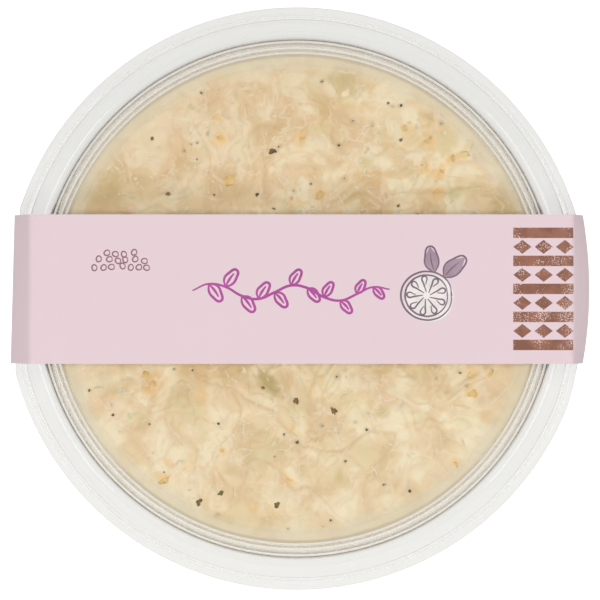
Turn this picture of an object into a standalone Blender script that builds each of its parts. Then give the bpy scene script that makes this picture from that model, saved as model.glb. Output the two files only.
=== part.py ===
"""A shut round tub of baba ganoush: a clear tub filled with dip, a clear pressed-on lid with a sunk
panel, and a paperboard sleeve that runs over the lid, down both sides and under the base.

Metres, +Z up. The sleeve runs along X. The origin lies under the middle, on the surface that
the tub stands on. Every turned piece is an outline of (radius, height) points, spun round Z.
"""

import math

import bmesh
import bpy
from mathutils import Vector, noise

GAP = 0.0003  # clearance between pieces that touch in the real tub
SIDES = 48  # facets round each turned piece

# Paperboard sleeve
BOARD = 0.0004
SLEEVE_WIDTH = 0.0300
SLEEVE_SHIFT = 0.0019  # the sleeve sits off the tub's middle, towards +Y
SLEEVE_STATIONS = 8  # strips across the width, which give its right end its curve
BEND_STEPS = 4
BASE_FOLD_X = 0.0466
GLUE_FLAP = 0.0120  # the ends of the board overlap by this much under the base
FLAP_BEVEL = 0.0002
LEFT_SHOULDER_X, LEFT_HEM_X = 0.0535, 0.0576
RIGHT_SHOULDER_X, RIGHT_HEM_X = 0.0554, 0.0592
SHOULDER_BEND = 0.0012  # length of bend either side of each shoulder
LEFT_SLANT = 0.027  # the left end is straight and a little out of square
RIGHT_CURVE = 0.084  # radius of the right end, which follows the lid

# Lid
LID_RADIUS = 0.0590
LID_WALL = 0.0005
LID_TOP = 0.0325
RECESS = 0.0040  # depth of the panel below the ring
PANEL_RADIUS = 0.0470
RING_IN, RING_OUT = 0.0512, 0.0532
SKIRT_RADIUS = 0.0570
SKIRT_DROP = 0.0034
HEM_DROP = 0.0047

# Tub
TUB_WALL = 0.0005
FOOT_Z = BOARD + GAP
PUSH_UP = 0.0010  # how far the middle of the base is raised off the foot ring
FOOT_IN, FOOT_OUT = 0.0358, 0.0427
BASE_RADIUS = 0.0450
STEP_Z, STEP_RADIUS, STEP_OUT = 0.0208, 0.0480, 0.0006
FILL_RADIUS = 0.0500  # inside of the wall where the dip ends
RIM_RADIUS = 0.0519
RIM_SKIRT_RADIUS = 0.0558
RIM_LIP = 0.0005  # flat edge outside the rim's skirt

# Dip
FILL_TOP = 0.0270
LUMP_SIZE, LUMP_HEIGHT = 0.0110, 0.0009
DIP_RINGS = 11


def offset(points, distance):
    """An open line of points moved to its right-hand side by distance, with mitred corners."""
    moved = []
    for i, point in enumerate(points):
        before = (point - points[i - 1]).normalized() if i else None
        after = (points[i + 1] - point).normalized() if i + 1 < len(points) else None
        before, after = before or after, after or before
        side = Vector((before.y + after.y, -before.x - after.x)).normalized()
        across = side.dot(Vector((before.y, -before.x)))
        moved.append(point + side * distance / across)
    return moved


def vectors(pairs):
    return [Vector(pair) for pair in pairs]


def lid_face():
    """Upper face of the lid, from the middle of the panel out to the hem."""
    panel = LID_TOP - RECESS
    channel = panel - 0.0004
    return vectors(
        [
            (0, panel),
            (PANEL_RADIUS, panel),
            (PANEL_RADIUS + 0.0006, channel),
            (PANEL_RADIUS + 0.0019, channel),
            (PANEL_RADIUS + 0.0026, channel + 0.0005),
            (PANEL_RADIUS + 0.0029, panel + 0.0016),
            (PANEL_RADIUS + 0.0035, panel + 0.0021),
            (RING_IN - 0.0003, LID_TOP - 0.0003),
            (RING_IN, LID_TOP),
            (RING_OUT, LID_TOP),
            (RING_OUT + 0.0006, LID_TOP - 0.0003),
            (SKIRT_RADIUS, LID_TOP - SKIRT_DROP),
            (SKIRT_RADIUS + 0.0004, LID_TOP - SKIRT_DROP - 0.0008),
            (SKIRT_RADIUS + 0.0009, LID_TOP - HEM_DROP),
            (LID_RADIUS, LID_TOP - HEM_DROP),
        ]
    )


def tub_face():
    """Inner face of the tub, from the middle of the base, up the wall, over the rim and down."""
    floor = FOOT_Z + TUB_WALL
    rim_top = LID_TOP - LID_WALL - GAP - 0.0001
    return vectors(
        [
            (0, floor + PUSH_UP),
            (FOOT_IN - 0.0010, floor + PUSH_UP),
            (FOOT_IN, floor),
            (FOOT_OUT, floor),
            (BASE_RADIUS - 0.0008, floor + 0.0007),
            (BASE_RADIUS, floor + 0.0022),
            (STEP_RADIUS, STEP_Z),
            (STEP_RADIUS + STEP_OUT, STEP_Z + 0.0006),
            (FILL_RADIUS, FILL_TOP),
            (RIM_RADIUS - 0.0005, rim_top - 0.0015),
            (RIM_RADIUS, rim_top),
            (RIM_SKIRT_RADIUS, rim_top - 0.0030),
            (RIM_SKIRT_RADIUS + RIM_LIP, rim_top - 0.0030),
        ]
    )


def dip_outline():
    """The dip's top, then down its side and across its foot, just clear of the tub."""
    top = [Vector((FILL_RADIUS * i / DIP_RINGS, FILL_TOP)) for i in range(DIP_RINGS)]
    inside = [p for p in tub_face() if p.y < FILL_TOP]
    inside.append(Vector((FILL_RADIUS, FILL_TOP)))
    side = offset(inside, -GAP)[::-1]
    side[0].y = FILL_TOP - 0.0004
    return top + side


def dip_height(x, y):
    """How far the top of the dip stands above its mean level: broad lumps, lower at the wall."""
    place = Vector((x, y, 0)) / LUMP_SIZE
    lumps = noise.noise(place) + 0.5 * noise.noise(place * 2.1)
    to_wall = min(1, math.hypot(x, y) / FILL_RADIUS)
    return LUMP_HEIGHT * lumps * (1 - to_wall**6) - 0.0004 * to_wall**8


def left_hem(y):
    """Distance of the sleeve's straight left end from the tub's middle."""
    return LEFT_HEM_X - LEFT_SLANT * (y - SLEEVE_SHIFT)


def right_hem(y):
    return RIGHT_HEM_X - (y - SLEEVE_SHIFT) ** 2 / (2 * RIGHT_CURVE)


def end_share(z):
    """How much of an end's shape a height takes: all of it at the hem, none at the folds."""
    hem, top = LID_TOP - HEM_DROP, LID_TOP + GAP + BOARD
    return z / hem if z < hem else (top - z) / (top - hem)


def squeeze(mesh):
    """Press in the lid's hem and the rim under it where the sleeve's two ends pull tight."""
    room = BOARD + 2 * GAP
    for vertex in mesh.verts:
        x, y, z = vertex.co
        radius = math.hypot(x, y)
        if radius <= RING_OUT + 0.0006 or z < FILL_TOP - 0.0010:
            continue
        hem_x, hem_y = (LID_RADIUS * c / radius for c in (abs(x), y))
        limit = (right_hem(hem_y) if x > 0 else left_hem(hem_y)) - room
        share = min(1, (radius - RING_OUT) / (SKIRT_RADIUS - RING_OUT))
        vertex.co.x -= math.copysign(max(0, hem_x - limit) * share, x)


def add_object(name, mesh, material):
    bmesh.ops.recalc_face_normals(mesh, faces=mesh.faces)
    data = bpy.data.meshes.new(name)
    mesh.to_mesh(data)
    mesh.free()
    data.materials.append(material)
    data.shade_smooth()
    data.set_sharp_from_angle(angle=math.radians(30))
    thing = bpy.data.objects.new(name, data)
    bpy.context.scene.collection.objects.link(thing)
    return thing


def spin(outline):
    """A closed solid from an outline that starts and ends on the Z axis."""
    mesh = bmesh.new()
    points = [mesh.verts.new((p.x, 0, p.y)) for p in outline]
    edges = [mesh.edges.new(pair) for pair in zip(points, points[1:])]
    bmesh.ops.spin(
        mesh,
        geom=points + edges,
        axis=(0, 0, 1),
        cent=(0, 0, 0),
        angle=math.tau,
        steps=SIDES,
        use_merge=True,
    )
    bmesh.ops.remove_doubles(mesh, verts=mesh.verts, dist=1e-6)
    return mesh


def shell(face, wall):
    """The outline of a thin turned shell with one face given and its wall on the other side."""
    return face + offset(face, wall)[::-1]


def bend(corner, before, after):
    """Points round a corner of the sleeve, from the run before it to the run after it."""
    start = corner + (before - corner).normalized() * SHOULDER_BEND
    end = corner + (after - corner).normalized() * SHOULDER_BEND
    rounded = []
    for i in range(BEND_STEPS + 1):
        t = i / BEND_STEPS
        rounded.append(start * (1 - t) ** 2 + corner * 2 * t * (1 - t) + end * t**2)
    return rounded


def sleeve_outline():
    """The sleeve's outer face in the X-Z plane, anticlockwise from the glue flap's left edge."""
    top = LID_TOP + GAP + BOARD
    hem_low = LID_TOP - HEM_DROP - 0.0009
    hem_high = LID_TOP - HEM_DROP + 0.0001
    flap = GLUE_FLAP / 2
    right, left = Vector((RIGHT_SHOULDER_X, top)), Vector((-LEFT_SHOULDER_X, top))
    right_top, left_top = Vector((RIGHT_HEM_X, hem_high)), Vector((-LEFT_HEM_X, hem_high))
    under = vectors([(-flap, 0), (-flap + FLAP_BEVEL, 0), (flap - FLAP_BEVEL, 0), (flap, 0)])
    return [
        *under,
        Vector((BASE_FOLD_X, 0)),
        Vector((RIGHT_HEM_X, hem_low)),
        right_top,
        *bend(right, right_top, left),
        *bend(left, right, left_top),
        left_top,
        Vector((-LEFT_HEM_X, hem_low)),
        Vector((-BASE_FOLD_X, 0)),
    ]


def sleeve():
    """A closed loop of board, extruded along Y, with its left end slanted and its right curved."""
    outer = sleeve_outline()
    around = [outer[-1], *outer, outer[0]]
    inner = offset(around, -BOARD)[1:-1]
    for point in inner[1:3]:
        point.y += BOARD  # the glued flap is a second thickness of board
    mesh = bmesh.new()
    edge_y = SLEEVE_SHIFT - SLEEVE_WIDTH / 2
    rings = [[mesh.verts.new((p.x, edge_y, p.y)) for p in loop] for loop in (outer, inner)]
    count = len(outer)
    faces = []
    for i in range(count):
        j = (i + 1) % count
        faces.append(mesh.faces.new((rings[0][i], rings[0][j], rings[1][j], rings[1][i])))
    grown = bmesh.ops.extrude_face_region(mesh, geom=faces)["geom"]
    far_edge = [g for g in grown if isinstance(g, bmesh.types.BMVert)]
    bmesh.ops.translate(mesh, verts=far_edge, vec=(0, SLEEVE_WIDTH, 0))
    for i in range(1, SLEEVE_STATIONS):
        bmesh.ops.bisect_plane(
            mesh,
            geom=[*mesh.verts, *mesh.edges, *mesh.faces],
            plane_co=(0, edge_y + SLEEVE_WIDTH * i / SLEEVE_STATIONS, 0),
            plane_no=(0, 1, 0),
        )
    for vertex in mesh.verts:
        x, y, z = vertex.co
        if x > RING_OUT:
            vertex.co.x -= (RIGHT_HEM_X - right_hem(y)) * end_share(z)
        elif x < -RING_OUT + SHOULDER_BEND:
            vertex.co.x += (LEFT_HEM_X - left_hem(y)) * end_share(z)
    return mesh


def dip():
    mesh = spin(dip_outline())
    for vertex in mesh.verts:
        if vertex.co.z > FILL_TOP - 0.0002:
            vertex.co.z += dip_height(vertex.co.x, vertex.co.y)
    return mesh


def material(name, colour, roughness, transmission=0.0):
    finish = bpy.data.materials.new(name)
    finish.use_nodes = True
    shader = finish.node_tree.nodes["Principled BSDF"]
    shader.inputs["Base Color"].default_value = (*colour, 1)
    shader.inputs["Roughness"].default_value = roughness
    shader.inputs["Transmission Weight"].default_value = transmission
    return finish


def build():
    for thing in list(bpy.data.objects):
        bpy.data.objects.remove(thing, do_unlink=True)
    clear = material("clear_plastic", (0.95, 0.96, 0.95), 0.05, transmission=0.9)
    tub = spin(shell(tub_face(), TUB_WALL))
    squeeze(tub)
    add_object("tub", tub, clear)
    lid = spin(shell(lid_face(), LID_WALL))
    squeeze(lid)
    add_object("lid", lid, clear)
    add_object("dip", dip(), material("aubergine_dip", (0.75, 0.60, 0.37), 0.45))
    add_object("sleeve", sleeve(), material("pink_board", (0.79, 0.62, 0.68), 0.6))


build()
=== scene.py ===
import math
import random

import bmesh
import bpy
from mathutils import Euler, Matrix, Vector, noise


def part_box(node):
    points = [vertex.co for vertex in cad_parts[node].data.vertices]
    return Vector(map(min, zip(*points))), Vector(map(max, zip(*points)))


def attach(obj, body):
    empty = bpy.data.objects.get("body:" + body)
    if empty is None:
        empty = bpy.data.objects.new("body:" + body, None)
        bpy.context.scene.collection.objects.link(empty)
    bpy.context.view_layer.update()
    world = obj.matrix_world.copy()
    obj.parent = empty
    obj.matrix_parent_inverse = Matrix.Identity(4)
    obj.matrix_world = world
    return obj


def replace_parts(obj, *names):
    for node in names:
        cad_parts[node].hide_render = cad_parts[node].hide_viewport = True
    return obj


# The looks of a shut clear tub of baba ganoush with a paperboard sleeve. Metres, +Z up, the
# sleeve along X. Turned pieces are outlines of (radius, height) points, spun round Z.

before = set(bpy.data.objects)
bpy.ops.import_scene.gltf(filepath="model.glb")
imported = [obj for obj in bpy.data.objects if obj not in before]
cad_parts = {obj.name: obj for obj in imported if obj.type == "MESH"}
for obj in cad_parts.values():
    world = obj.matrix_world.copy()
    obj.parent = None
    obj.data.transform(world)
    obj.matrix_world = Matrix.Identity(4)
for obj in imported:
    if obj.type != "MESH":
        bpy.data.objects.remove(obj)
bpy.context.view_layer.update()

# Heights and radii that the frame gives
LID_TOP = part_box("lid")[1].z
LID_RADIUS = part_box("lid")[1].y
TUB_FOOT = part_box("tub")[0].z
SLEEVE_LOW, SLEEVE_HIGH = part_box("sleeve")
SLEEVE_TOP = SLEEVE_HIGH.z
SLEEVE_WIDTH = SLEEVE_HIGH.y - SLEEVE_LOW.y
SLEEVE_SHIFT = (SLEEVE_HIGH.y + SLEEVE_LOW.y) / 2

TURN_STEPS = 256  # facets round each turned piece
HOLD = 0.00015  # support line beside each rounded corner, which keeps flats flat

# Lid and tub, as in the solids
GAP = 0.0003
WALL = 0.0005
RECESS = 0.0040
PANEL_RADIUS = 0.0470
RING_IN, RING_OUT = 0.0512, 0.0532
SKIRT_RADIUS, SKIRT_DROP = 0.0570, 0.0034
HEM_DROP = 0.0047
PUSH_UP = 0.0010
FOOT_IN, FOOT_OUT = 0.0358, 0.0427
BASE_RADIUS = 0.0450
STEP_Z, STEP_RADIUS, STEP_OUT = 0.0208, 0.0480, 0.0006
RIM_RADIUS, RIM_SKIRT_RADIUS, RIM_LIP = 0.0519, 0.0558, 0.0005
CORNER = 0.00080  # how far each corner of the clear plastic is rounded

# Dip
FILL_TOP, FILL_RADIUS = 0.0270, 0.0500
INTO_WALL = 0.0002  # the dip reaches this far into the tub's wall, so no air shows
DIP_GRID = 264
EDGE_START = 0.0440  # inside this radius the paste shows none of the pale edge
OPEN_RADIUS = 0.0478  # how far out anything in the paste may lie
LUMP_SIZE, LUMP_HEIGHT = 0.0110, 0.0009

# Sleeve
BOARD = 0.0004
SLEEVE_STATIONS = 30
BASE_FOLD_X = 0.0466
GLUE_FLAP, FLAP_BEVEL = 0.0120, 0.0002
LEFT_SHOULDER_X, LEFT_HEM_X = 0.0535, 0.0576
RIGHT_SHOULDER_X, RIGHT_HEM_X = 0.0554, 0.0592
SHOULDER_BEND, BEND_STEPS = 0.0012, 10
LEFT_SLANT, RIGHT_CURVE = 0.027, 0.084
TOP_STEPS = 60  # strips along the top, which let it sag inside the lid's ring
PANEL_SAG, SAG_REACH = 0.0003, 0.0080
INK = 0.00002  # half the thickness of the print


# --- outlines and turned pieces -------------------------------------------------------------


def vectors(pairs):
    return [Vector(pair) for pair in pairs]


def offset(points, distance):
    """An open line of points moved to its right-hand side by distance, with mitred corners."""
    moved = []
    for i, point in enumerate(points):
        before = (point - points[i - 1]).normalized() if i else None
        after = (points[i + 1] - point).normalized() if i + 1 < len(points) else None
        before, after = before or after, after or before
        side = Vector((before.y + after.y, -before.x - after.x)).normalized()
        across = side.dot(Vector((before.y, -before.x)))
        moved.append(point + side * distance / across)
    return moved


def arc_round(before, corner, after, reach, steps):
    """Points of a smooth bend that starts and ends at reach from a corner."""
    start = corner + (before - corner).normalized() * reach
    end = corner + (after - corner).normalized() * reach
    ts = [i / steps for i in range(steps + 1)]
    return [start * (1 - t) ** 2 + corner * 2 * t * (1 - t) + end * t**2 for t in ts]


def rounded(points, radius, steps=5, hold=HOLD):
    """An open line with its corners rounded, and support points hold away from each of them."""
    smooth = [points[0]]
    for before, corner, after in zip(points, points[1:], points[2:]):
        back, on = (before - corner), (after - corner)
        reach = min(radius, 0.4 * back.length, 0.4 * on.length)
        arc = arc_round(before, corner, after, reach, steps)
        if hold:
            room = min(hold, 0.05 * min(back.length, on.length))
            arc = [arc[0] + back.normalized() * room, *arc, arc[-1] + on.normalized() * room]
        smooth += arc
    smooth.append(points[-1])
    return smooth


def shell(face, wall):
    """The outline of a thin turned shell with one face given and its wall on the other side."""
    return rounded([*face, *offset(face, wall)[::-1]], CORNER)


def spin(outline):
    """A closed solid from an outline that starts and ends on the Z axis."""
    mesh = bmesh.new()
    points = [mesh.verts.new((p.x, 0, p.y)) for p in outline]
    edges = [mesh.edges.new(pair) for pair in zip(points, points[1:])]
    bmesh.ops.spin(
        mesh,
        geom=points + edges,
        axis=(0, 0, 1),
        cent=(0, 0, 0),
        angle=math.tau,
        steps=TURN_STEPS,
        use_merge=True,
    )
    bmesh.ops.remove_doubles(mesh, verts=mesh.verts, dist=1e-6)
    return mesh


def lid_face():
    """Upper face of the lid, from the middle of the panel out to the hem."""
    panel = LID_TOP - RECESS
    channel = panel - 0.0004
    return vectors(
        [
            (0, panel),
            (PANEL_RADIUS, panel),
            (PANEL_RADIUS + 0.0006, channel),
            (PANEL_RADIUS + 0.0019, channel),
            (PANEL_RADIUS + 0.0026, channel + 0.0005),
            (PANEL_RADIUS + 0.0029, panel + 0.0016),
            (PANEL_RADIUS + 0.0035, panel + 0.0021),
            (RING_IN - 0.0003, LID_TOP - 0.0003),
            (RING_IN, LID_TOP),
            (RING_OUT, LID_TOP),
            (RING_OUT + 0.0006, LID_TOP - 0.0003),
            (SKIRT_RADIUS, LID_TOP - SKIRT_DROP),
            (SKIRT_RADIUS + 0.0004, LID_TOP - SKIRT_DROP - 0.0008),
            (SKIRT_RADIUS + 0.0009, LID_TOP - HEM_DROP),
            (LID_RADIUS, LID_TOP - HEM_DROP),
        ]
    )


def tub_face():
    """Inner face of the tub, from the middle of the base, up the wall, over the rim and down."""
    floor = TUB_FOOT + WALL
    rim_top = LID_TOP - WALL - GAP - 0.0001
    return vectors(
        [
            (0, floor + PUSH_UP),
            (FOOT_IN - 0.0010, floor + PUSH_UP),
            (FOOT_IN, floor),
            (FOOT_OUT, floor),
            (BASE_RADIUS - 0.0008, floor + 0.0007),
            (BASE_RADIUS, floor + 0.0022),
            (STEP_RADIUS, STEP_Z),
            (STEP_RADIUS + STEP_OUT, STEP_Z + 0.0006),
            (FILL_RADIUS, FILL_TOP),
            (RIM_RADIUS - 0.0005, rim_top - 0.0015),
            (RIM_RADIUS, rim_top),
            (RIM_SKIRT_RADIUS, rim_top - 0.0030),
            (RIM_SKIRT_RADIUS + RIM_LIP, rim_top - 0.0030),
        ]
    )


def left_hem(y):
    """Distance of the sleeve's straight left end from the tub's middle."""
    return LEFT_HEM_X - LEFT_SLANT * (y - SLEEVE_SHIFT)


def right_hem(y):
    return RIGHT_HEM_X - (y - SLEEVE_SHIFT) ** 2 / (2 * RIGHT_CURVE)


def end_share(z):
    """How much of an end's shape a height takes: nearly all at the hem, none at the folds."""
    hem = LID_TOP - HEM_DROP
    return min(0.98, z / hem if z < hem else (SLEEVE_TOP - z) / (SLEEVE_TOP - hem))


def squeeze(mesh):
    """Press in the lid's hem and the rim under it where the sleeve's two ends pull tight."""
    room = BOARD + 2 * GAP
    for vertex in mesh.verts:
        x, y, z = vertex.co
        radius = math.hypot(x, y)
        if radius <= RING_OUT + 0.0006 or z < FILL_TOP - 0.0010:
            continue
        hem_x, hem_y = (LID_RADIUS * c / radius for c in (abs(x), y))
        limit = (right_hem(hem_y) if x > 0 else left_hem(hem_y)) - room
        share = min(1, (radius - RING_OUT) / (SKIRT_RADIUS - RING_OUT))
        vertex.co.x -= math.copysign(max(0, hem_x - limit) * share, x)


# --- objects --------------------------------------------------------------------------------


def add_piece(name, mesh, materials, sharp=None):
    """An object at the origin that rides on the tub and takes its finish from a slot."""
    data = bpy.data.meshes.new(name)
    mesh.to_mesh(data)
    mesh.free()
    for finish in materials:
        data.materials.append(finish)
    data.shade_smooth()
    if sharp:
        data.set_sharp_from_angle(angle=math.radians(sharp))
    piece = bpy.data.objects.new(name, data)
    bpy.context.scene.collection.objects.link(piece)
    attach(piece, "root")
    return piece


def turned_plastic(name, face):
    mesh = spin(shell(face, WALL))
    squeeze(mesh)
    bmesh.ops.recalc_face_normals(mesh, faces=mesh.faces)
    return add_piece(name, mesh, [MATERIALS["clear_plastic"]])


# --- dip ------------------------------------------------------------------------------------

FOLD_SIZE, FOLD_HEIGHT, FOLDS = 0.0090, 0.00045, 1.6
SMALL_FOLD_SIZE, SMALL_FOLD_HEIGHT = 0.0042, 0.00026
SHRED_SIZE, SHRED_HEIGHT = 0.0026, 0.00013
STAIN_CELL = 0.005  # side of the squares that stains are sorted into


def wander(x, y, size, strength):
    """A place pushed sideways by slow noise, so that what is read there runs in swirls."""
    place = Vector((x, y, 0)) / size
    push_x = noise.noise(place + Vector((3.7, 1.9, 5.1)))
    push_y = noise.noise(place + Vector((8.3, 6.2, 2.4)))
    return x + push_x * strength, y + push_y * strength


def broad_lumps(x, y):
    """The lumps that the solid has too: how far the top stands above its mean level."""
    place = Vector((x, y, 0)) / LUMP_SIZE
    return LUMP_HEIGHT * (noise.noise(place) + 0.5 * noise.noise(place * 2.1))


def fold(x, y, size, layer):
    """(height, shade) of paste folded over itself: slow slopes that end in a soft step. The shade
    is painted shade, strongest at the foot of each step.
    """
    x, y = wander(x, y, 1.33 * size, size)
    level = FOLDS * noise.noise(Vector((x, y, layer)) / size) + 10
    level += 0.2 * noise.noise(Vector((x, y, 2 * layer)) / (0.35 * size))
    part = level - math.floor(level)
    lip = 0.16  # share of each slope that its step takes up
    height = part / (1 - lip) if part < 1 - lip else (1 - part) / lip
    fold_shade = math.exp(-((part if part < 0.5 else 1 - part) / 0.09) ** 2)
    return height, fold_shade


def shred(x, y):
    """Height of the soft ridges that the shredded flesh makes, from 0 to 1."""
    x, y = wander(x, y, 0.005, 0.0035)
    ridge = 1 - abs(2 * noise.noise(Vector((x, y, 0.006)) / SHRED_SIZE))
    finer = 1 - abs(2 * noise.noise(Vector((x, y, 0.011)) / (0.5 * SHRED_SIZE)))
    return 0.65 * max(0, ridge) ** 3 + 0.35 * max(0, finer) ** 3


def dip_top(x, y):
    """(height, shade) of the dip's top; the shade is painted shade along the folds' steps."""
    to_wall = min(1, math.hypot(x, y) / FILL_RADIUS)
    folded, fold_shade = fold(x, y, FOLD_SIZE, 0.004)
    small_folded, small_fold_shade = fold(x, y, SMALL_FOLD_SIZE, 0.013)
    calm = 1 - to_wall**6
    relief = broad_lumps(x, y) + FOLD_HEIGHT * (folded - 0.5)
    relief += SMALL_FOLD_HEIGHT * (small_folded - 0.5) + SHRED_HEIGHT * (shred(x, y) - 0.3)
    return FILL_TOP - 0.0004 * to_wall**8 + calm * relief, calm * max(fold_shade, 0.8 * small_fold_shade)


def edge_share(x, y):
    """0 on the open paste, rising unevenly to 1 where it meets the tub's wall."""
    radius = math.hypot(x, y)
    share = (radius - EDGE_START) / (FILL_RADIUS - EDGE_START)
    uneven = 0.3 * noise.noise(Vector((x, y, 0.03)) / 0.012)
    uneven += 0.12 * noise.noise(Vector((x, y, 0.05)) / 0.003)
    return min(1, max(0, share + uneven * max(0, 1 - abs(2 * share - 0.8))))


def to_disc(u, v, radius):
    """The point of a disc that an even square grid's point (u, v), from -1 to 1, goes to."""
    if abs(u) < 1e-9 and abs(v) < 1e-9:
        return 0.0, 0.0
    if abs(u) > abs(v):
        along, turn = u, math.pi / 4 * v / u
    else:
        along, turn = v, math.pi / 2 - math.pi / 4 * u / v
    return radius * along * math.cos(turn), radius * along * math.sin(turn)


def spots(count, seed, reach=0.0470):
    """Places spread evenly over the dip at random, the same each run."""
    draw = random.Random(seed)
    made = []
    for _ in range(count):
        radius, turn = reach * math.sqrt(draw.random()), draw.uniform(0, math.tau)
        made.append((radius * math.cos(turn), radius * math.sin(turn)))
    return made


# The larger bits, then the many small ones
ORANGE_GROUP = [(0.0293, 0.0262), (0.0318, 0.0285), (0.0286, 0.0215), (0.0262, 0.0318)]
ORANGE_PATCHES = [(0.0283, 0.0255), (-0.0295, -0.0175), (0.0355, -0.0153)]
ORANGE_SPOTS = [*ORANGE_GROUP, *ORANGE_PATCHES[1:], (-0.0155, 0.0323), (-0.0137, 0.0238)]
ORANGE_SPOTS += spots(18, seed=5)
LARGE_SPECKS = [(-0.0050, 0.0300), (-0.0200, -0.0414), (0.0074, -0.0228), (-0.0002, -0.0208)]
MIDDLE_SPECKS = [(-0.0261, 0.0213), (-0.0081, 0.0211), (-0.0047, 0.0182), (-0.0294, 0.0325)]
SMALL_SPECKS = spots(72, seed=22)
HERBS = [(-0.0153, -0.0394), (-0.0040, -0.0418), (0.0215, 0.0120)]
OLIVE_CHUNK = (-0.0058, -0.0171)
OLIVE_PATCHES = [(-0.0385, 0.0228), (0.0428, 0.0198), (0.0100, 0.0440)]


def stain_list():
    """Soft stains in the paste: (place, reach, stretch, turn, colour, strength)."""
    draw = random.Random(31)
    stains = []

    def add(places, colour, reach, strength, stretch=1.8):
        tint = srgb(*colour)
        for place in places:
            size, depth = draw.uniform(*reach), draw.uniform(*strength)
            long, turn = draw.uniform(1, stretch), draw.uniform(0, 3.1)
            stains.append((place, size, long, turn, tint, depth))

    add(spots(55, seed=41), (243, 226, 190), (0.0008, 0.0024), (0.25, 0.6), stretch=2.6)
    add(spots(26, seed=42), (229, 188, 138), (0.0015, 0.0040), (0.2, 0.5))
    add(spots(26, seed=43), (211, 195, 131), (0.0007, 0.0018), (0.3, 0.7))
    add(OLIVE_PATCHES, (199, 173, 109), (0.0035, 0.0045), (0.5, 0.7))
    add(spots(34, seed=44), (156, 131, 88), (0.0003, 0.0007), (0.35, 0.75))
    add(ORANGE_PATCHES, (243, 192, 118), (0.0018, 0.0024), (0.6, 0.8))
    add(ORANGE_SPOTS, (247, 197, 122), (0.0011, 0.0018), (0.6, 0.9))
    add(spots(22, seed=45), (238, 199, 129), (0.0008, 0.0018), (0.35, 0.7))
    specks = LARGE_SPECKS + MIDDLE_SPECKS + SMALL_SPECKS
    add(specks, (156, 135, 96), (0.0004, 0.0008), (0.3, 0.55), stretch=1.3)
    stains.append((OLIVE_CHUNK, 0.0020, 2.6, -0.9, srgb(184, 163, 100), 0.85))
    return stains


def sort_stains():
    """The stains by the squares that they may reach."""
    sorted_by_square = {}
    for stain in stain_list():
        (x, y), reach, stretch = stain[:3]
        squares = math.ceil(1.4 * reach * stretch / STAIN_CELL)
        column, row = math.floor(x / STAIN_CELL), math.floor(y / STAIN_CELL)
        for i in range(column - squares, column + squares + 1):
            for j in range(row - squares, row + squares + 1):
                sorted_by_square.setdefault((i, j), []).append(stain)
    return sorted_by_square


def stain_at(x, y, stains):
    """Colour and strength of the strongest stain at a place."""
    best = (1.0, 1.0, 1.0, 0.0)
    ragged = 0.35 * noise.noise(Vector((x, y, 0.02)) / 0.0013)
    square = (math.floor(x / STAIN_CELL), math.floor(y / STAIN_CELL))
    for (centre_x, centre_y), reach, stretch, turn, tint, depth in stains.get(square, ()):
        off_x, off_y = x - centre_x, y - centre_y
        along = off_x * math.cos(turn) + off_y * math.sin(turn)
        across = off_y * math.cos(turn) - off_x * math.sin(turn)
        away = math.hypot(along / stretch, across) / reach + ragged
        fade = min(1, max(0, (away - 0.25) / 0.9))
        share = depth * (1 - fade * fade * (3 - 2 * fade))
        if share > best[3]:
            best = (*tint, share)
    return best


def dip_core():
    """The dip: a fine top with its relief, and sides that reach into the tub's wall."""
    mesh = bmesh.new()
    bmesh.ops.create_grid(mesh, x_segments=DIP_GRID, y_segments=DIP_GRID, size=1)
    fold_shade_layer = mesh.verts.layers.float.new("fold_shade")
    edge_layer = mesh.verts.layers.float.new("edge")
    stain_layer = mesh.verts.layers.float_color.new("stain")
    stains = sort_stains()
    for vertex in mesh.verts:
        x, y = to_disc(vertex.co.x, vertex.co.y, FILL_RADIUS + INTO_WALL)
        height, fold_shade = dip_top(x, y)
        vertex.co = (x, y, height)
        vertex[fold_shade_layer] = fold_shade
        vertex[edge_layer] = edge_share(x, y)
        vertex[stain_layer] = stain_at(x, y, stains)
    inside = [p for p in tub_face() if p.y < FILL_TOP][::-1]
    levels = rounded(offset(inside, INTO_WALL), CORNER, steps=2, hold=0)
    for level in levels[:-1]:
        rim = [e for e in mesh.edges if e.is_boundary]
        grown = bmesh.ops.extrude_edge_only(mesh, edges=rim)["geom"]
        for vertex in (g for g in grown if isinstance(g, bmesh.types.BMVert)):
            direction = Vector(vertex.co.xy).normalized() * level.x
            vertex.co = (direction.x, direction.y, level.y)
            vertex[fold_shade_layer] = 0
            vertex[edge_layer] = 0.3
            vertex[stain_layer] = (1, 1, 1, 0)
    bmesh.ops.edgeloop_fill(mesh, edges=[e for e in mesh.edges if e.is_boundary])
    bmesh.ops.recalc_face_normals(mesh, faces=mesh.faces)
    piece = add_piece("dip_core", mesh, [MATERIALS["dip"]])
    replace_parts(piece, "dip")


def strands(name, count, seed, finish, thick, steps, step, sunk, curliness):
    """Strands of flesh that lie curled on the paste, partly sunk in it."""
    draw = random.Random(seed)
    threads = bpy.data.curves.new(name, "CURVE")
    threads.dimensions = "3D"
    threads.bevel_depth = 0.0001
    threads.bevel_resolution = 1
    threads.use_fill_caps = True
    for x, y in spots(count, seed):
        heading = math.tau * noise.noise(Vector((x, y, 0.3)) / 0.015) + draw.gauss(0, 0.9)
        length = draw.randint(*steps)
        width = draw.uniform(*thick)
        curl = draw.gauss(0, curliness)
        thread = threads.splines.new("POLY")
        thread.points.add(length)
        for i, point in enumerate(thread.points):
            end = abs(2 * i / length - 1)
            point.co = (x, y, dip_top(x, y)[0] - width * 0.0001 * (sunk + 0.6 * end**2), 1)
            point.radius = width * (1 - 0.85 * end**2) * draw.uniform(0.8, 1.2)
            x += step * math.cos(heading)
            y += step * math.sin(heading)
            back = min(1, OPEN_RADIUS / math.hypot(x, y))
            x, y = x * back, y * back
            heading += curl
            curl += draw.gauss(0, 0.5 * curliness)
    return add_piece(name, meshed(threads), [MATERIALS[finish]])


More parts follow.
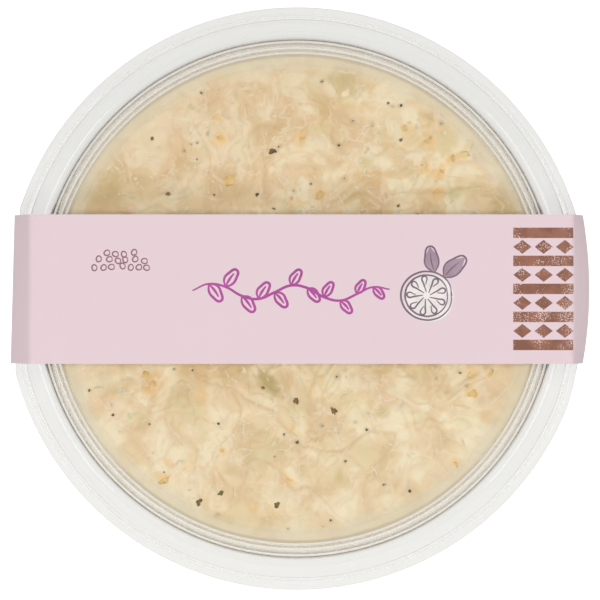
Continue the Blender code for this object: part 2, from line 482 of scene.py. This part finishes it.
def meshed(curves):
    """The closed mesh of some bevelled curves."""
    holder = bpy.data.objects.new(curves.name, curves)
    bpy.context.scene.collection.objects.link(holder)
    ready = holder.evaluated_get(bpy.context.evaluated_depsgraph_get())
    mesh = bmesh.new()
    mesh.from_mesh(bpy.data.meshes.new_from_object(ready))
    bpy.data.objects.remove(holder, do_unlink=True)
    bmesh.ops.remove_doubles(mesh, verts=mesh.verts, dist=1e-6)
    bmesh.ops.recalc_face_normals(mesh, faces=mesh.faces)
    return mesh


def bits(name, finish, places, sizes, detail, dents, flat, sunk, seed):
    """One kind of bit: sizes are half lengths, flat the height over the width, sunk its depth."""
    mesh = bmesh.new()
    draw = random.Random(seed)
    for x, y in places:
        along = draw.uniform(*sizes)
        across = along * draw.uniform(0.5, 0.95)
        size = Matrix.Diagonal((along, across, across * flat, 1))
        shift = Vector([draw.uniform(0, 50) for _ in range(3)])
        lump = bmesh.ops.create_icosphere(mesh, subdivisions=detail, radius=1)["verts"]
        for vertex in lump:
            vertex.co *= 1 + dents * noise.noise(vertex.co * 1.5 + shift)
        tilt = Euler((draw.uniform(-0.2, 0.2), draw.uniform(-0.2, 0.2), draw.uniform(0, 6.3)))
        place = Matrix.Translation((x, y, dip_top(x, y)[0] - across * flat * sunk))
        bmesh.ops.transform(mesh, matrix=place @ tilt.to_matrix().to_4x4() @ size, verts=lump)
    return add_piece(name, mesh, [MATERIALS[finish]])


def toppings():
    """Everything in the dip that has a shape of its own."""
    strands("pale_fibres", 240, 11, "fibre", (1.3, 2.8), (6, 16), 0.00048, 0.74, 0.13)
    strands("soft_shreds", 420, 12, "shred", (2.6, 6.0), (5, 11), 0.00060, 0.84, 0.14)
    bits("orange_bits", "orange", ORANGE_SPOTS, (0.0006, 0.0011), 3, 0.6, 0.16, 0.5, seed=3)
    bits("large_specks", "speck", LARGE_SPECKS, (0.0006, 0.0009), 3, 0.9, 0.4, 0.3, seed=6)
    bits("middle_specks", "speck", MIDDLE_SPECKS, (0.0004, 0.0005), 3, 0.9, 0.4, 0.3, seed=8)
    bits("small_specks", "speck", SMALL_SPECKS, (0.00014, 0.00042), 2, 0.8, 0.5, 0.3, seed=7)
    bits("herb_flecks", "herb", HERBS, (0.0005, 0.0008), 3, 0.9, 0.25, 0.2, seed=9)
    bits("tiny_bubbles", "bubble", spots(34, 51), (0.00008, 0.00016), 2, 0.1, 0.7, 0.2, seed=13)


# --- sleeve ---------------------------------------------------------------------------------


def sleeve_outline():
    """The sleeve's outer face in the X-Z plane, anticlockwise from the glue flap's left edge."""
    hem_low = LID_TOP - HEM_DROP - 0.0009
    hem_high = LID_TOP - HEM_DROP + 0.0001
    flap = GLUE_FLAP / 2
    right = Vector((RIGHT_SHOULDER_X, SLEEVE_TOP - INK))
    left = Vector((-LEFT_SHOULDER_X, SLEEVE_TOP - INK))
    right_hems = vectors([(RIGHT_HEM_X, hem_low), (RIGHT_HEM_X, hem_high)])
    left_hems = vectors([(-LEFT_HEM_X, hem_high), (-LEFT_HEM_X, hem_low)])
    right_base, left_base = Vector((BASE_FOLD_X, 0)), Vector((-BASE_FOLD_X, 0))
    under = vectors([(-flap, 0), (-flap + FLAP_BEVEL, 0), (flap - FLAP_BEVEL, 0), (flap, 0)])
    crease = 0.0003
    top = [right.lerp(left, i / TOP_STEPS) for i in range(1, TOP_STEPS)]
    top = [p for p in top if -LEFT_SHOULDER_X + 0.003 < p.x < RIGHT_SHOULDER_X - 0.003]
    return [
        *under,
        *arc_round(under[-1], right_base, right_hems[0], crease, 3),
        *arc_round(right_base, right_hems[0], right_hems[1], crease, 3),
        *arc_round(right_hems[0], right_hems[1], right, crease, 3),
        *arc_round(right_hems[1], right, left, SHOULDER_BEND, BEND_STEPS),
        *top,
        *arc_round(right, left, left_hems[0], SHOULDER_BEND, BEND_STEPS),
        *arc_round(left, left_hems[0], left_hems[1], crease, 3),
        *arc_round(left_hems[0], left_hems[1], left_base, crease, 3),
        *arc_round(left_hems[1], left_base, under[0], crease, 3),
    ]


def shape_ends(x, y, z):
    """Where a point of the straight sleeve goes: left end slanted, right end curved, top sunk."""
    if x > RING_OUT - 0.003:
        x -= (RIGHT_HEM_X - right_hem(y)) * end_share(z)
    elif x < -RING_OUT + 0.003:
        x += (LEFT_HEM_X - left_hem(y)) * end_share(z)
    inside = RING_IN - abs(x)
    if inside > 0 and z > LID_TOP:
        z -= PANEL_SAG * (1 - math.exp(-inside / SAG_REACH))
    return x, y, z


def ribbon(outline):
    """A band along the sleeve's outline, one strip for each step across its width."""
    mesh = bmesh.new()
    edge_y = SLEEVE_SHIFT - SLEEVE_WIDTH / 2
    line = [mesh.verts.new((p.x, edge_y, p.y)) for p in outline]
    edges = [mesh.edges.new(pair) for pair in zip(line, line[1:] + line[:1])]
    for _ in range(SLEEVE_STATIONS):
        grown = bmesh.ops.extrude_edge_only(mesh, edges=edges)["geom"]
        edges = [g for g in grown if isinstance(g, bmesh.types.BMEdge) and g.is_boundary]
        next_line = [g for g in grown if isinstance(g, bmesh.types.BMVert)]
        bmesh.ops.translate(mesh, verts=next_line, vec=(0, SLEEVE_WIDTH / SLEEVE_STATIONS, 0))
    bmesh.ops.recalc_face_normals(mesh, faces=mesh.faces)
    return mesh


def sleeve():
    """A closed loop of board, printed outside, grey-white inside and pale on its cut edges."""
    mesh = ribbon(sleeve_outline())
    printed = list(mesh.faces)
    bmesh.ops.solidify(mesh, geom=printed, thickness=BOARD)
    middle = Vector((0, 0, LID_TOP / 2))
    for face in mesh.faces:
        centre = face.calc_center_median()
        if abs(face.normal.y) > 0.9:
            face.material_index = 2
        elif face.normal.dot(centre - middle) < 0:
            face.material_index = 1
    for vertex in mesh.verts:
        x, _, z = vertex.co
        if abs(x) < GLUE_FLAP / 2 and 0 < z < 2 * BOARD:
            vertex.co.z += BOARD  # the glued flap is a second thickness of board
        vertex.co = shape_ends(*vertex.co)
    finishes = [MATERIALS[name] for name in ("board", "board_inside", "board_edge")]
    piece = add_piece("sleeve_board", mesh, finishes, sharp=50)
    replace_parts(piece, "sleeve")
    return piece


# --- print on the sleeve --------------------------------------------------------------------

PEN = 0.00055  # width of the drawn lines
COPPER_FROM, COPPER_TO = 0.0434, 0.0556  # the copper band, measured along the board


def printed_line():
    """(length, point) along the board's printed face, left to right, from its middle."""
    upper = sorted((p for p in sleeve_outline() if p.y > LID_TOP - HEM_DROP), key=lambda p: p.x)
    lengths = [0.0]
    for before, after in zip(upper, upper[1:]):
        lengths.append(lengths[-1] + (after - before).length)
    middle = next(
        length - point.x * (length - lengths[i]) / (point.x - upper[i].x)
        for i, (length, point) in enumerate(zip(lengths[1:], upper[1:]))
        if point.x > 0
    )
    return [(length - middle, point) for length, point in zip(lengths, upper)]


def wrap(mesh):
    """Lay a flat drawing, (along, across, up), on the board and round its ends."""
    line = printed_line()
    for vertex in mesh.verts:
        along, across, up = vertex.co
        i = next((i for i, (length, _) in enumerate(line[1:]) if length >= along), len(line) - 2)
        (start, first), (end, second) = line[i], line[i + 1]
        run = (second - first).normalized()
        point = first.lerp(second, (along - start) / (end - start))
        vertex.co = shape_ends(point.x - run.y * up, across, point.y + run.x * up)


def add_print(name, mesh, finish):
    wrap(mesh)
    bmesh.ops.recalc_face_normals(mesh, faces=mesh.faces)
    return add_piece(name, mesh, [MATERIALS[finish]], sharp=40)


def drawing(lines, width=PEN):
    """Pen lines, each a list of (along, across) points in mm, as a thin raised mesh."""
    pen = bpy.data.curves.new("pen", "CURVE")
    pen.dimensions = "3D"
    pen.bevel_depth = width / 2
    pen.bevel_resolution = 2
    pen.use_fill_caps = True
    for line in lines:
        stroke = pen.splines.new("BEZIER")
        stroke.bezier_points.add(len(line) - 1)
        stroke.resolution_u = 6
        for i, (point, (along, across)) in enumerate(zip(stroke.bezier_points, line)):
            point.co = (along / 1000, across / 1000, 0)
            point.handle_left_type = point.handle_right_type = "AUTO"
            point.radius = 1 - 0.45 * abs(2 * i / (len(line) - 1) - 1) ** 3
    mesh = meshed(pen)
    for vertex in mesh.verts:
        vertex.co.z *= INK / (width / 2)
    return mesh


def leaf(along, across, length, turn):
    """A pen-drawn leaf with its mid vein: two lines."""
    half = [(0, 0), (0.3, 0.27), (0.62, 0.25), (1, 0), (0.6, -0.22), (0.28, -0.2), (0, 0)]
    vein = [(0.05, 0), (0.4, 0.04), (0.78, 0.02)]

    def turned(points):
        cosine, sine = length * math.cos(turn), length * math.sin(turn)
        return [(along + u * cosine - v * sine, across + u * sine + v * cosine) for u, v in points]

    return [turned(half), turned(vein)]


def vine():
    """A long pen-drawn stem that waves across the middle, with leaves on both sides of it."""
    stem = [(-21 + 3.3 * i, 1.6 + 1.5 * math.sin(1.25 * i) - 0.06 * i) for i in range(13)]
    lines = [stem]
    for i, (along, across) in enumerate(stem[1:-1]):
        side = 1 if i % 2 else -1
        lines += leaf(along, across, 4.2 - 0.12 * i, side * (0.95 + 0.12 * math.sin(3 * i)))
    add_print("print_vine", drawing(lines), "magenta_ink")


def ring(along, across, radius, uneven=0.0, points=9):
    """A hand-drawn circle that ends a little past its start."""
    turns = [math.tau * i / (points - 1.4) for i in range(points)]
    radii = [radius * (1 + uneven * math.sin(2.3 * turn + along)) for turn in turns]
    return [(along + r * math.cos(t), across + r * math.sin(t)) for r, t in zip(radii, turns)]


def flat_shape(points, height):
    """A filled outline of (along, across) points in mm, as a thin mesh."""
    mesh = bmesh.new()
    corners = [mesh.verts.new((along / 1000, across / 1000, 0)) for along, across in points]
    bmesh.ops.contextual_create(mesh, geom=corners)
    bmesh.ops.triangulate(mesh, faces=mesh.faces)
    thicken(mesh, height)
    return mesh


def halved_lemon():
    """A halved lemon in grey pen over a pale wash, with two lilac leaves."""
    along, across = 26.0, 0.6
    leaves = [
        leaf(along + 3.4, across + 3.6, 6.0, 0.75),
        leaf(along + 1.6, across + 4.6, 5.4, 1.75),
    ]
    lines = [ring(along, across, 5.0, 0.03, 14), ring(along, across, 4.2, 0.02, 14)]
    for i in range(9):
        turn = math.tau * i / 9 + 0.2
        wedge = [(0.7, 0), (2.2, 0.45), (3.7, 0.75), (3.8, 0), (2.2, 0.1)]
        cosine, sine = math.cos(turn), math.sin(turn)
        lines.append(
            [(along + u * cosine - v * sine, across + u * sine + v * cosine) for u, v in wedge]
        )
    add_print("print_lemon", drawing(lines + leaves[0] + leaves[1], 0.7 * PEN), "grey_ink")
    fruit = flat_shape(ring(along + 0.5, across - 0.4, 4.9, 0.02, 28)[:-1], 0.2 * INK)
    add_print("print_wash", fruit, "pale_ink")
    for i, (side, _) in enumerate(leaves):
        add_print(f"print_leaf_{i + 1}", flat_shape(side[:-1], 0.5 * INK), "lilac_ink")


def thicken(mesh, height=0.5 * INK):
    """Give a flat shape, drawn on the plane, the thickness of a print."""
    low = list(mesh.verts)
    grown = bmesh.ops.extrude_face_region(mesh, geom=list(mesh.faces))["geom"]
    top = [g for g in grown if isinstance(g, bmesh.types.BMVert)]
    bmesh.ops.translate(mesh, verts=top, vec=(0, 0, height))
    bmesh.ops.translate(mesh, verts=low, vec=(0, 0, -height))


def peppercorns():
    """A loose heap of small rings at the left."""
    draw = random.Random(4)
    lines = []
    for row, (count, start) in enumerate(((7, -40.5), (6, -39.6), (4, -38.2))):
        for i in range(count):
            along = start + 1.75 * i + draw.uniform(-0.3, 0.3)
            lines.append(ring(along, 6.4 + 1.35 * row + draw.uniform(-0.25, 0.25), 0.55, 0.1))
    add_print("print_peppercorns", drawing(lines, 0.55 * PEN), "brown_ink")


def copper_band():
    """A column of speckled copper lozenges between bars, which runs up to the right shoulder."""
    width = COPPER_TO - COPPER_FROM
    mesh = bmesh.new()
    middle = (COPPER_FROM + COPPER_TO) / 2
    low, high = -0.0093, 0.0132
    pitch = (high - low) / 4
    for i in range(5):
        bar = bmesh.ops.create_grid(mesh, x_segments=1, y_segments=1, size=0.5)["verts"]
        bmesh.ops.scale(mesh, vec=(width, 0.0021, 1), verts=bar)
        bmesh.ops.translate(mesh, vec=(middle, low + pitch * i, 0), verts=bar)
    for i in range(4):
        for across in (-0.35, 0, 0.35):
            lozenge = bmesh.ops.create_circle(mesh, cap_ends=True, segments=4, radius=0.5)["verts"]
            bmesh.ops.scale(mesh, vec=(width * 0.30, pitch * 0.50, 1), verts=lozenge)
            at = (middle + width * across, low + pitch * (i + 0.5), 0)
            bmesh.ops.translate(mesh, vec=at, verts=lozenge)
    thicken(mesh)
    cuts = 44  # across the band, so that it bends with the board
    for i in range(1, cuts):
        bmesh.ops.bisect_plane(
            mesh,
            geom=[*mesh.verts, *mesh.edges, *mesh.faces],
            plane_co=(COPPER_FROM + width * i / cuts, 0, 0),
            plane_no=(1, 0, 0),
        )
    add_print("print_copper_band", mesh, "copper_ink")


# --- materials ------------------------------------------------------------------------------


def srgb(red, green, blue):
    """A colour given as a screen shows it, 0 to 255, as Blender's linear values."""
    shown = (c / 255 for c in (red, green, blue))
    return tuple(c / 12.92 if c <= 0.04045 else ((c + 0.055) / 1.055) ** 2.4 for c in shown)


def feed(tree, socket, value):
    """Link a socket, or set a number or colour on it."""
    if isinstance(value, bpy.types.NodeSocket):
        tree.links.new(value, socket)
    elif socket.type == "RGBA":
        socket.default_value = (*value[:3], 1)
    else:
        socket.default_value = value


def node(tree, kind, sockets=None, **settings):
    new = tree.nodes.new("ShaderNode" + kind)
    for name, value in settings.items():
        setattr(new, name, value)
    for name, value in (sockets or {}).items():
        feed(tree, new.inputs[name], value)
    return new


def mix(tree, factor, first, second, mode="MIX"):
    """The mix of two colours."""
    new = node(tree, "Mix", data_type="RGBA", blend_type=mode)
    for index, value in ((0, factor), (6, first), (7, second)):
        feed(tree, new.inputs[index], value)
    return new.outputs[2]


def maths(tree, kind, first, second=0.5, third=0.0):
    new = node(tree, "Math", operation=kind)
    for index, value in enumerate((first, second, third)):
        feed(tree, new.inputs[index], value)
    return new.outputs[0]


def ramp(tree, value, low, high, first=0.0, last=1.0):
    """value brought from low..high to first..last, smoothly and no further."""
    sockets = {"Value": value, "From Min": low, "From Max": high, "To Min": first, "To Max": last}
    return node(tree, "MapRange", sockets, interpolation_type="SMOOTHSTEP").outputs[0]


def new_material(name):
    finish = bpy.data.materials.new(name)
    finish.use_nodes = True
    tree = finish.node_tree
    tree.nodes.clear()
    shader = node(tree, "BsdfPrincipled")
    out = node(tree, "OutputMaterial", {"Surface": shader.outputs[0]})
    return finish, tree, shader, out


def object_place(tree):
    return node(tree, "TexCoord").outputs["Object"]


def ridges(tree, place, scale, width):
    """Winding lines of uneven width, 1 along their middle."""
    curls = node(tree, "TexNoise", {"Vector": place, "Scale": scale, "Detail": 2.5})
    curls.inputs["Distortion"].default_value = 0.4
    away = maths(tree, "ABSOLUTE", maths(tree, "SUBTRACT", curls.outputs[0], 0.5))
    return ramp(tree, away, 0.0, width, 1, 0)


def puree_group():
    """Shared by the dip and what is in it: soft patches, fine mottle and thin curled fibres."""
    group = bpy.data.node_groups.new("puree", "ShaderNodeTree")
    face = group.interface
    face.new_socket("Place", in_out="INPUT", socket_type="NodeSocketVector")
    face.new_socket("Patch Scale", in_out="INPUT", socket_type="NodeSocketFloat")
    for name in ("Patches", "Tint", "Mottle", "Fibres"):
        face.new_socket(name, in_out="OUTPUT", socket_type="NodeSocketFloat")
    begin = group.nodes.new("NodeGroupInput")
    end = group.nodes.new("NodeGroupOutput")
    place, scale = begin.outputs["Place"], begin.outputs["Patch Scale"]
    drift = node(group, "TexNoise", {"Vector": place, "Scale": 110, "Detail": 1})
    centred = node(group, "VectorMath", {0: drift.outputs["Color"], 1: (0.5, 0.5, 0.5)})
    centred.operation = "SUBTRACT"
    swirl = node(group, "VectorMath", operation="MULTIPLY_ADD")
    for index, value in enumerate((centred.outputs[0], (0.008, 0.008, 0.008), place)):
        feed(group, swirl.inputs[index], value)
    swirl = swirl.outputs[0]
    patches = node(group, "TexNoise", {"Vector": swirl, "Scale": scale, "Detail": 3})
    tint = node(group, "TexNoise", {"Vector": place, "Scale": maths(group, "MULTIPLY", scale, 1.3)})
    mottle = node(group, "TexNoise", {"Vector": swirl, "Scale": 620, "Detail": 4})
    broken = node(group, "TexNoise", {"Vector": place, "Scale": 170, "Detail": 2})
    broken = ramp(group, broken.outputs[0], 0.42, 0.60)
    broad = ridges(group, swirl, 210, 0.045)
    fine = ridges(group, swirl, 420, 0.050)
    fibres = maths(group, "MAXIMUM", broad, maths(group, "MULTIPLY", fine, 0.35))
    feed(group, end.inputs["Patches"], patches.outputs[0])
    feed(group, end.inputs["Tint"], tint.outputs[0])
    feed(group, end.inputs["Mottle"], mottle.outputs[0])
    feed(group, end.inputs["Fibres"], maths(group, "MULTIPLY", fibres, broken))
    return group


def puree(tree, scale):
    new = node(tree, "Group", node_tree=bpy.data.node_groups["puree"])
    feed(tree, new.inputs["Place"], object_place(tree))
    new.inputs["Patch Scale"].default_value = scale
    return new.outputs


def flesh(shader, weight):
    """Let light a little way into a food."""
    shader.inputs["Subsurface Weight"].default_value = weight
    shader.inputs["Subsurface Radius"].default_value = (0.0012, 0.0009, 0.0005)
    shader.inputs["Subsurface Scale"].default_value = 1.0


def dip_finish():
    finish, tree, shader, _ = new_material("aubergine dip")
    look = puree(tree, 130)
    cream, beige, tan = srgb(248, 230, 192), srgb(237, 209, 162), srgb(220, 186, 131)
    rosy, mossy = srgb(237, 203, 164), srgb(226, 212, 159)
    colour = mix(tree, ramp(tree, look["Patches"], 0.40, 0.52), cream, beige)
    colour = mix(tree, ramp(tree, look["Patches"], 0.52, 0.66, 0, 0.9), colour, tan)
    colour = mix(tree, ramp(tree, look["Tint"], 0.52, 0.70, 0, 0.45), colour, rosy)
    colour = mix(tree, ramp(tree, look["Tint"], 0.46, 0.30, 0, 0.45), colour, mossy)
    x, y, _ = node(tree, "SeparateXYZ", {0: object_place(tree)}).outputs
    # painted light: the front of the paste made lighter and paler
    colour = mix(tree, ramp(tree, y, -0.012, -0.030, 0, 0.18), colour, srgb(250, 236, 208))
    corner = maths(tree, "SUBTRACT", y, x)  # darker and warmer towards the back left
    colour = mix(tree, ramp(tree, corner, 0.020, 0.050, 0, 0.25), colour, srgb(216, 178, 136))
    stain = node(tree, "Attribute", attribute_name="stain")
    colour = mix(tree, stain.outputs["Alpha"], colour, stain.outputs["Color"])
    # painted shade: the paste darkened towards tan at the foot of each fold's step
    fold_shade = node(tree, "Attribute", attribute_name="fold_shade").outputs["Fac"]
    colour = mix(tree, maths(tree, "MULTIPLY", fold_shade, 0.5), colour, srgb(217, 182, 128))
    colour = mix(tree, maths(tree, "MULTIPLY", look["Fibres"], 0.45), colour, srgb(249, 233, 202))
    edge = node(tree, "Attribute", attribute_name="edge").outputs["Fac"]
    # Towards the wall the paste turns paler, then darker in a ring of painted shade where it meets
    # the wall, then greyer right at the wall.
    colour = mix(tree, ramp(tree, edge, 0.20, 0.75, 0, 0.75), colour, srgb(229, 216, 187))
    colour = mix(tree, ramp(tree, edge, 0.80, 0.91, 0, 0.85), colour, srgb(202, 186, 156))
    colour = mix(tree, ramp(tree, edge, 0.95, 1.00, 0, 0.9), colour, srgb(216, 207, 186))
    grain = ramp(tree, look["Mottle"], 0.3, 0.7, 0.985, 1.015)
    tone = node(tree, "CombineColor", {"Red": grain, "Green": grain, "Blue": grain})
    feed(tree, shader.inputs["Base Color"], mix(tree, 1.0, colour, tone.outputs[0], "MULTIPLY"))
    feed(tree, shader.inputs["Roughness"], ramp(tree, look["Mottle"], 0.3, 0.7, 0.3, 0.5))
    height = maths(tree, "MULTIPLY_ADD", look["Mottle"], 0.4, look["Fibres"])
    bump = node(tree, "Bump", {"Height": height, "Strength": 0.3, "Distance": 0.00016})
    feed(tree, shader.inputs["Normal"], bump.outputs[0])
    flesh(shader, 0.2)
    return finish


def bit_finish(name, low, high, roughness, depth=0.0, shine=0.5):
    """A bit in the dip, its colour running from low to high in soft patches."""
    finish, tree, shader, _ = new_material(name)
    look = puree(tree, 500)
    colour = mix(tree, ramp(tree, look["Patches"], 0.35, 0.65), srgb(*low), srgb(*high))
    feed(tree, shader.inputs["Base Color"], colour)
    shader.inputs["Roughness"].default_value = roughness
    shader.inputs["Specular IOR Level"].default_value = shine
    bump = node(tree, "Bump", {"Height": look["Mottle"], "Strength": 0.4, "Distance": 0.0001})
    feed(tree, shader.inputs["Normal"], bump.outputs[0])
    if depth:
        flesh(shader, depth)
    return finish


def ink(name, colour, worn=0.0, depth=0.14):
    """Printed ink, up to depth darker in places. worn is how much has failed to take, in specks."""
    finish, tree, shader, _ = new_material(name)
    place = object_place(tree)
    grain = node(tree, "TexNoise", {"Vector": place, "Scale": 4400, "Detail": 1})
    clusters = node(tree, "TexNoise", {"Vector": place, "Scale": 210, "Detail": 3})
    edge = ramp(tree, clusters.outputs[0], 0.35, 0.68, 0.76, 0.76 - worn)
    missing = ramp(tree, maths(tree, "SUBTRACT", grain.outputs[0], edge), 0.0, 0.04)
    tone = node(tree, "TexNoise", {"Vector": place, "Scale": 320, "Detail": 3})
    base = srgb(*colour)
    deeper = tuple(c * (1 - depth) for c in base)
    solid = mix(tree, ramp(tree, tone.outputs[0], 0.35, 0.65), deeper, base)
    colour = mix(tree, missing, solid, srgb(226, 196, 184)) if worn else solid
    feed(tree, shader.inputs["Base Color"], colour)
    shader.inputs["Roughness"].default_value = 0.55
    return finish


def clear_plastic():
    """Thin clear plastic. Lamps and soft light pass straight on, as they do through a thin wall."""
    finish, tree, shader, out = new_material("clear plastic")
    smudge = node(tree, "TexNoise", {"Vector": object_place(tree), "Scale": 60, "Detail": 4})
    feed(tree, shader.inputs["Roughness"], ramp(tree, smudge.outputs[0], 0.35, 0.75, 0.01, 0.05))
    shader.inputs["Base Color"].default_value = (0.992, 0.994, 0.990, 1)
    shader.inputs["IOR"].default_value = 1.49
    shader.inputs["Transmission Weight"].default_value = 1
    straight = node(tree, "BsdfTransparent", {"Color": (0.985, 0.987, 0.985)})
    ray = node(tree, "LightPath")
    soft = maths(tree, "MAXIMUM", ray.outputs["Is Shadow Ray"], ray.outputs["Is Diffuse Ray"])
    choice = node(tree, "MixShader", {"Fac": soft})
    feed(tree, choice.inputs[1], shader.outputs[0])
    feed(tree, choice.inputs[2], straight.outputs[0])
    feed(tree, out.inputs["Surface"], choice.outputs[0])
    return finish


def board_finish(name, colour, spread, roughness):
    """Paperboard: its fibres show as a faint cloud in the colour and a fine tooth."""
    finish, tree, shader, _ = new_material(name)
    place = object_place(tree)
    cloud = node(tree, "TexNoise", {"Vector": place, "Scale": 90, "Detail": 6})
    tooth = node(tree, "TexNoise", {"Vector": place, "Scale": 2600, "Detail": 3})
    base = srgb(*colour)
    darker = tuple(c * (1 - spread) for c in base)
    tone = mix(tree, ramp(tree, cloud.outputs[0], 0.3, 0.7), darker, base)
    rough = ramp(tree, tooth.outputs[0], 0.3, 0.7, roughness, roughness + 0.1)
    feed(tree, shader.inputs["Base Color"], tone)
    feed(tree, shader.inputs["Roughness"], rough)
    bump = node(tree, "Bump", {"Height": tooth.outputs[0], "Strength": 0.12, "Distance": 0.00005})
    feed(tree, shader.inputs["Normal"], bump.outputs[0])
    return finish


def floor_finish():
    finish, tree, shader, _ = new_material("pale floor")
    shader.inputs["Base Color"].default_value = (0.5, 0.505, 0.495, 1)
    shader.inputs["Roughness"].default_value = 0.9
    shader.inputs["Emission Color"].default_value = (1, 1, 1, 1)
    seen = node(tree, "LightPath").outputs["Is Camera Ray"]
    feed(tree, shader.inputs["Emission Strength"], maths(tree, "MULTIPLY_ADD", seen, 0.4, 0.40))
    return finish


def make_materials():
    puree_group()
    return {
        "clear_plastic": clear_plastic(),
        "dip": dip_finish(),
        "fibre": bit_finish("pale fibre", (240, 219, 176), (249, 233, 198), 0.6, 0.3, shine=0.3),
        "shred": bit_finish("soft shred", (232, 207, 160), (244, 226, 188), 0.5, 0.3, shine=0.4),
        "orange": bit_finish("orange bit", (252, 192, 104), (255, 220, 150), 0.5, 0.5, shine=0.3),
        "speck": bit_finish("charred speck", (86, 60, 22), (140, 110, 56), 0.8, shine=0.1),
        "herb": bit_finish("herb", (84, 84, 14), (130, 124, 40), 0.6, shine=0.2),
        "bubble": bit_finish("bubble", (229, 211, 176), (237, 223, 197), 0.1),
        "magenta_ink": ink("magenta ink", (180, 78, 157)),
        "grey_ink": ink("grey ink", (122, 104, 118)),
        "pale_ink": ink("pale ink", (243, 236, 232)),
        "lilac_ink": ink("lilac ink", (172, 148, 162)),
        "brown_ink": ink("brown ink", (150, 112, 116)),
        "copper_ink": ink("copper ink", (154, 103, 84), worn=0.24, depth=0.3),
        "board": board_finish("pink board", (231, 209, 215), 0.012, 0.55),
        "board_inside": board_finish("board inside", (222, 218, 212), 0.03, 0.8),
        "board_edge": board_finish("board edge", (226, 214, 212), 0.05, 0.85),
        "floor": floor_finish(),
    }


# --- room, light and camera -----------------------------------------------------------------


def stage():
    mesh = bmesh.new()
    bmesh.ops.create_circle(mesh, cap_ends=True, segments=64, radius=1.6)
    bmesh.ops.translate(mesh, verts=mesh.verts, vec=(0, 0, -0.0002))
    data = bpy.data.meshes.new("floor")
    mesh.to_mesh(data)
    mesh.free()
    data.materials.append(MATERIALS["floor"])
    floor = bpy.data.objects.new("floor", data)
    bpy.context.scene.collection.objects.link(floor)


def soft_light(name, place, size, power, shine_only=False):
    """A soft box. Most only light; a shine-only one is seen just in what mirrors it."""
    lamp = bpy.data.lights.new(name, "AREA")
    lamp.shape, lamp.size, lamp.size_y = "RECTANGLE", *size
    lamp.energy = power
    light = bpy.data.objects.new(name, lamp)
    light.visible_diffuse = not shine_only
    light.visible_glossy = shine_only
    light.visible_transmission = False
    light.location = place
    light.rotation_euler = (-Vector(place)).to_track_quat("-Z", "Y").to_euler()
    bpy.context.scene.collection.objects.link(light)


def lights():
    world = bpy.data.worlds.new("soft room")
    world.use_nodes = True
    room = world.node_tree
    lit = node(room, "LightPath").outputs["Is Diffuse Ray"]  # pale walls, less light from them
    backdrop = room.nodes["Background"].inputs
    backdrop["Color"].default_value = (1, 1, 1, 1)
    feed(room, backdrop["Strength"], maths(room, "MULTIPLY_ADD", lit, -0.36, 0.6))
    bpy.context.scene.world = world
    soft_light("top box", (0.0, -0.03, 1.1), (0.4, 0.4), 6.7)
    soft_light("left strip", (-0.75, 0.0, 0.65), (1.5, 0.35), 4.2, shine_only=True)
    soft_light("right strip", (0.75, 0.0, 0.65), (1.5, 0.35), 4.2, shine_only=True)
    soft_light("front box", (0.0, -0.75, 0.75), (0.8, 0.4), 2.4)
    soft_light("back box", (0.0, 0.75, 0.75), (0.8, 0.4), 0.9)


def camera():
    lens = bpy.data.cameras.new("camera")
    eye = bpy.data.objects.new("camera", lens)
    distance = 0.600
    hem = LID_TOP - HEM_DROP
    view_width = 0.12148  # what the picture spans at the height of the lid's hem
    lens.sensor_width = 36
    lens.lens = 36 * distance / view_width
    eye.location = (0.0006, -0.00028, hem + distance)
    bpy.context.scene.collection.objects.link(eye)
    bpy.context.scene.camera = eye
    bpy.context.scene.view_settings.view_transform = "Standard"
    bpy.context.scene.cycles.max_bounces = 24
    bpy.context.scene.cycles.transmission_bounces = 24
    bpy.context.scene.cycles.transparent_max_bounces = 24


MATERIALS = make_materials()
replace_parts(turned_plastic("clear_tub", tub_face()), "tub")
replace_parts(turned_plastic("clear_lid", lid_face()), "lid")
dip_core()
toppings()
sleeve()
vine()
halved_lemon()
peppercorns()
copper_band()
stage()
lights()
camera()
